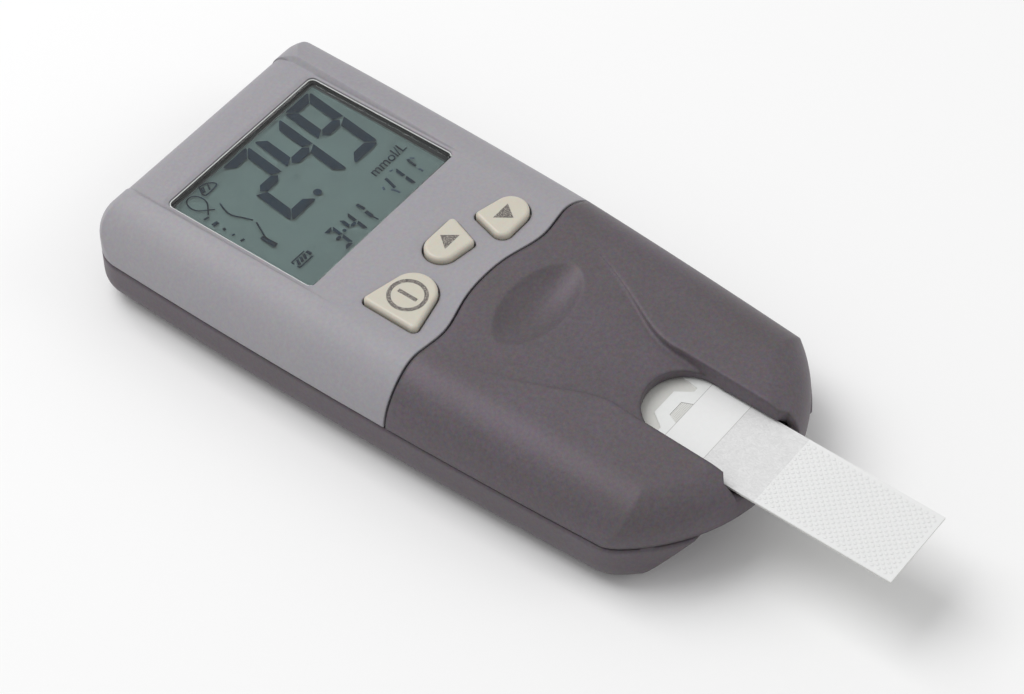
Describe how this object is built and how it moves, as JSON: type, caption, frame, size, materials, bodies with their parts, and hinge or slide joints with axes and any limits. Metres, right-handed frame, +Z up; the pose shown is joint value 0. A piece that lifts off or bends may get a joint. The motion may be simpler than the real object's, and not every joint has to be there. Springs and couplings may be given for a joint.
{
  "type": "hemoglobin meter",
  "caption": "Hand-held blood meter with a display window, push buttons, a sliding front cover and a test strip seated in its open slot.",
  "frame": {"origin": "middle of the body, on the plane its four feet stand on", "axes": "+Z up from the table, -Y towards the strip slot, +Y towards the display end, +X to the reader's right"},
  "size_m": [0.062, 0.1553, 0.0221],
  "materials": {
    "light_shell": "fine matt moulded plastic, light grey",
    "dark_shell": "fine matt moulded plastic, dark warm grey",
    "clear_plastic": "clear polished plastic",
    "black_plastic": "black moulded plastic",
    "display_glass": "grey-green reflective display glass",
    "contact_rubber": "layered conductive rubber",
    "button_plastic": "satin cream plastic",
    "dome_rubber": "soft translucent rubber",
    "board": "green lacquered circuit board",
    "tray_plastic": "dark grey moulded plastic",
    "light_source": "clear cast resin",
    "sensor": "black resin",
    "strip_plastic": "white plastic film",
    "strip_paper": "fibrous white paper",
    "strip_film": "thin grey-white film",
    "mesh": "fine woven mesh",
    "cell": "lacquered steel can",
    "plated_steel": "nickel-plated steel",
    "screw_steel": "zinc-plated steel",
    "foot_rubber": "black rubber"
  },
  "bodies": {
    "housing": {"top_case": "light_shell", "bottom_case": "dark_shell", "display_lens": "clear_plastic", "optics_window": "clear_plastic", "display_surround": "black_plastic", "lcd_holder": "black_plastic", "optics_block": "black_plastic", "microcontroller": "black_plastic", "buzzer": "black_plastic", "board_link": "black_plastic", "lcd_panel": "display_glass", "lcd_contact_strip": "contact_rubber", "power_dome": "dome_rubber", "up_dome": "dome_rubber", "down_dome": "dome_rubber", "main_board": "board", "optics_board": "board", "strip_tray": "tray_plastic", "light_sources": "light_source", "light_sensor": "sensor", "battery_left": "cell", "battery_right": "cell", "contact_leaves": "plated_steel", "contact_bridge": "plated_steel", "case_screws": "screw_steel", "board_screws": "screw_steel", "tray_screws": "screw_steel", "rubber_feet": "foot_rubber"},
    "front_cover": {"front_cover": "dark_shell"},
    "battery_door": {"battery_door": "dark_shell"},
    "test_strip": {"strip_card": "strip_plastic", "strip_label": "strip_plastic", "strip_grip": "strip_plastic", "strip_paper": "strip_paper", "strip_film": "strip_film", "reaction_pad": "mesh"},
    "power_button": {"power_button": "button_plastic"},
    "up_button": {"up_button": "button_plastic"},
    "down_button": {"down_button": "button_plastic"}
  },
  "joints": [
    {"name": "power_button_press", "type": "slide", "parent": "housing", "child": "power_button", "axis": [0, 0, -1], "range_m": [0, 0.0008], "stiffness_N_per_m": 800, "deforming": ["power_dome"]},
    {"name": "up_button_press", "type": "slide", "parent": "housing", "child": "up_button", "axis": [0, 0, -1], "range_m": [0, 0.0008], "stiffness_N_per_m": 800, "deforming": ["up_dome"]},
    {"name": "down_button_press", "type": "slide", "parent": "housing", "child": "down_button", "axis": [0, 0, -1], "range_m": [0, 0.0008], "stiffness_N_per_m": 800, "deforming": ["down_dome"]},
    {"name": "strip_slide", "type": "slide", "parent": "housing", "child": "test_strip", "axis": [0, -1, 0], "range_m": [0, 0.034]},
    {"name": "cover_slide", "type": "slide", "parent": "housing", "child": "front_cover", "axis": [0, -1, 0], "range_m": [0, 0.014]},
    {"name": "door_slide", "type": "slide", "parent": "housing", "child": "battery_door", "axis": [0, 1, 0], "range_m": [0, 0.05]}
  ]
}
